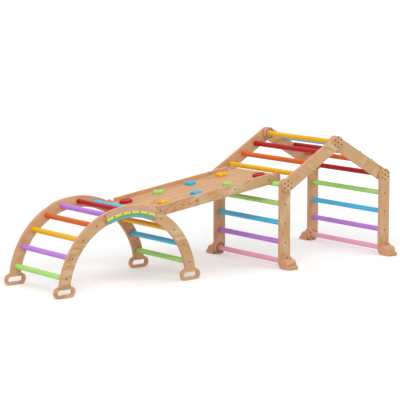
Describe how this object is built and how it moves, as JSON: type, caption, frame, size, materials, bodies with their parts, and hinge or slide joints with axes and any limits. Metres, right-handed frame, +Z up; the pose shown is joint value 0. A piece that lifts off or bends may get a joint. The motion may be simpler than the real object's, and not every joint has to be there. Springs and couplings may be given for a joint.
{
  "type": "toddler climbing frame",
  "caption": "Folding wooden climbing house with hinged rung panels, a ramp with climbing holds and a rung arch with a rainbow trim.",
  "frame": {"origin": "on the floor, under the middle of the whole frame's box", "axes": "+X from the arch to the house, +Y to the far side, +Z up"},
  "size_m": [2.3357, 0.812, 0.736],
  "materials": {
    "plywood": "clear satin lacquer on birch plywood",
    "ramp_plywood": "clear satin lacquer on birch plywood",
    "foot_wood": "clear satin lacquer on laminated wood",
    "rainbow_trim": "striped satin paint on plywood",
    "dark_steel": "dark bronzed steel",
    "green_paint": "satin paint on beech dowel",
    "purple_paint": "satin paint on beech dowel",
    "yellow_paint": "satin paint on beech dowel",
    "orange_paint": "satin paint on beech dowel",
    "red_paint": "satin paint on beech dowel",
    "dark_red_paint": "satin paint on beech dowel",
    "blue_paint": "satin paint on beech dowel",
    "pink_paint": "satin paint on beech dowel",
    "red_hold": "matte moulded resin",
    "green_hold": "matte moulded resin",
    "blue_hold": "matte moulded resin",
    "yellow_hold": "matte moulded resin"
  },
  "bodies": {
    "leg_left": {"leg_left_board_far": "plywood", "leg_left_board_near": "plywood", "leg_left_hinge_bolts": "dark_steel", "leg_left_rung_1": "purple_paint", "leg_left_rung_2": "blue_paint", "leg_left_rung_3": "green_paint", "leg_left_rung_eave": "green_paint", "leg_left_rung_foot": "pink_paint", "leg_left_rung_screws": "dark_steel"},
    "roof_left": {"roof_left_board_far": "plywood", "roof_left_board_near": "plywood", "roof_left_index_bolts": "dark_steel", "roof_left_rung_1": "yellow_paint", "roof_left_rung_2": "orange_paint", "roof_left_rung_3": "red_paint"},
    "roof_right": {"roof_right_board_far": "plywood", "roof_right_board_near": "plywood", "roof_right_hinge_bolts": "dark_steel", "roof_right_rung_1": "blue_paint", "roof_right_rung_2": "dark_red_paint", "roof_right_rung_3": "orange_paint", "roof_right_rung_eave": "red_paint", "roof_right_rung_ridge": "yellow_paint"},
    "leg_right": {"leg_right_board_far": "plywood", "leg_right_board_near": "plywood", "leg_right_hinge_bolts": "dark_steel", "leg_right_index_bolts": "dark_steel", "leg_right_rung_1": "green_paint", "leg_right_rung_2": "blue_paint", "leg_right_rung_3": "purple_paint", "leg_right_rung_foot": "pink_paint", "leg_right_rung_screws": "dark_steel"},
    "foot_left_near": {"foot_left_near": "foot_wood", "foot_left_bolts_near": "dark_steel"},
    "foot_left_far": {"foot_left_far": "foot_wood", "foot_left_bolts_far": "dark_steel"},
    "foot_right_near": {"foot_right_near": "foot_wood", "foot_right_bolts_near": "dark_steel"},
    "foot_right_far": {"foot_right_far": "foot_wood", "foot_right_bolts_far": "dark_steel"},
    "ramp": {"ramp_board": "ramp_plywood", "ramp_hold_screws": "dark_steel", "ramp_holds_blue": "blue_hold", "ramp_holds_green": "green_hold", "ramp_holds_red": "red_hold", "ramp_holds_yellow": "yellow_hold", "ramp_rail_far": "plywood", "ramp_rail_near": "plywood", "ramp_screws": "dark_steel"},
    "arch": {"arch_board_far": "plywood", "arch_board_near": "plywood", "arch_rungs_blue": "blue_paint", "arch_rungs_green": "green_paint", "arch_rungs_orange": "orange_paint", "arch_rungs_purple": "purple_paint", "arch_rungs_red": "red_paint", "arch_rungs_yellow": "yellow_paint", "arch_screws": "dark_steel", "arch_trim_far": "rainbow_trim", "arch_trim_near": "rainbow_trim"}
  },
  "joints": [
    {"name": "eave_left_hinge", "type": "hinge", "parent": "leg_left", "child": "roof_left", "pos_m": [0.36776, 0, 0.478], "axis": [0, -1, 0], "range_deg": [-30, 60]},
    {"name": "ridge_hinge", "type": "hinge", "parent": "roof_left", "child": "roof_right", "pos_m": [0.74881, 0, 0.698], "axis": [0, -1, 0], "range_deg": [0, 60]},
    {"name": "eave_right_hinge", "type": "hinge", "parent": "roof_right", "child": "leg_right", "pos_m": [1.12986, 0, 0.478], "axis": [0, -1, 0], "range_deg": [-30, 60]},
    {"name": "foot_left_near_hinge", "type": "hinge", "parent": "leg_left", "child": "foot_left_near", "pos_m": [0.36776, 0, 0.038], "axis": [0, -1, 0], "range_deg": [-30, 30]},
    {"name": "foot_left_far_hinge", "type": "hinge", "parent": "leg_left", "child": "foot_left_far", "pos_m": [0.36776, 0, 0.038], "axis": [0, -1, 0], "range_deg": [-30, 30]},
    {"name": "foot_right_near_hinge", "type": "hinge", "parent": "leg_right", "child": "foot_right_near", "pos_m": [1.12986, 0, 0.038], "axis": [0, -1, 0], "range_deg": [-30, 30]},
    {"name": "foot_right_far_hinge", "type": "hinge", "parent": "leg_right", "child": "foot_right_far", "pos_m": [1.12986, 0, 0.038], "axis": [0, -1, 0], "range_deg": [-30, 30]},
    {"name": "ramp_hinge", "type": "hinge", "parent": "leg_left", "child": "ramp", "pos_m": [0.36776, 0, 0.478], "axis": [0, 1, 0], "range_deg": [0, 30]},
    {"name": "arch_unhook_slide", "type": "slide", "parent": "ramp", "child": "arch", "axis": [0.1362, 0, -0.9907], "range_m": [0, 0.08]}
  ]
}
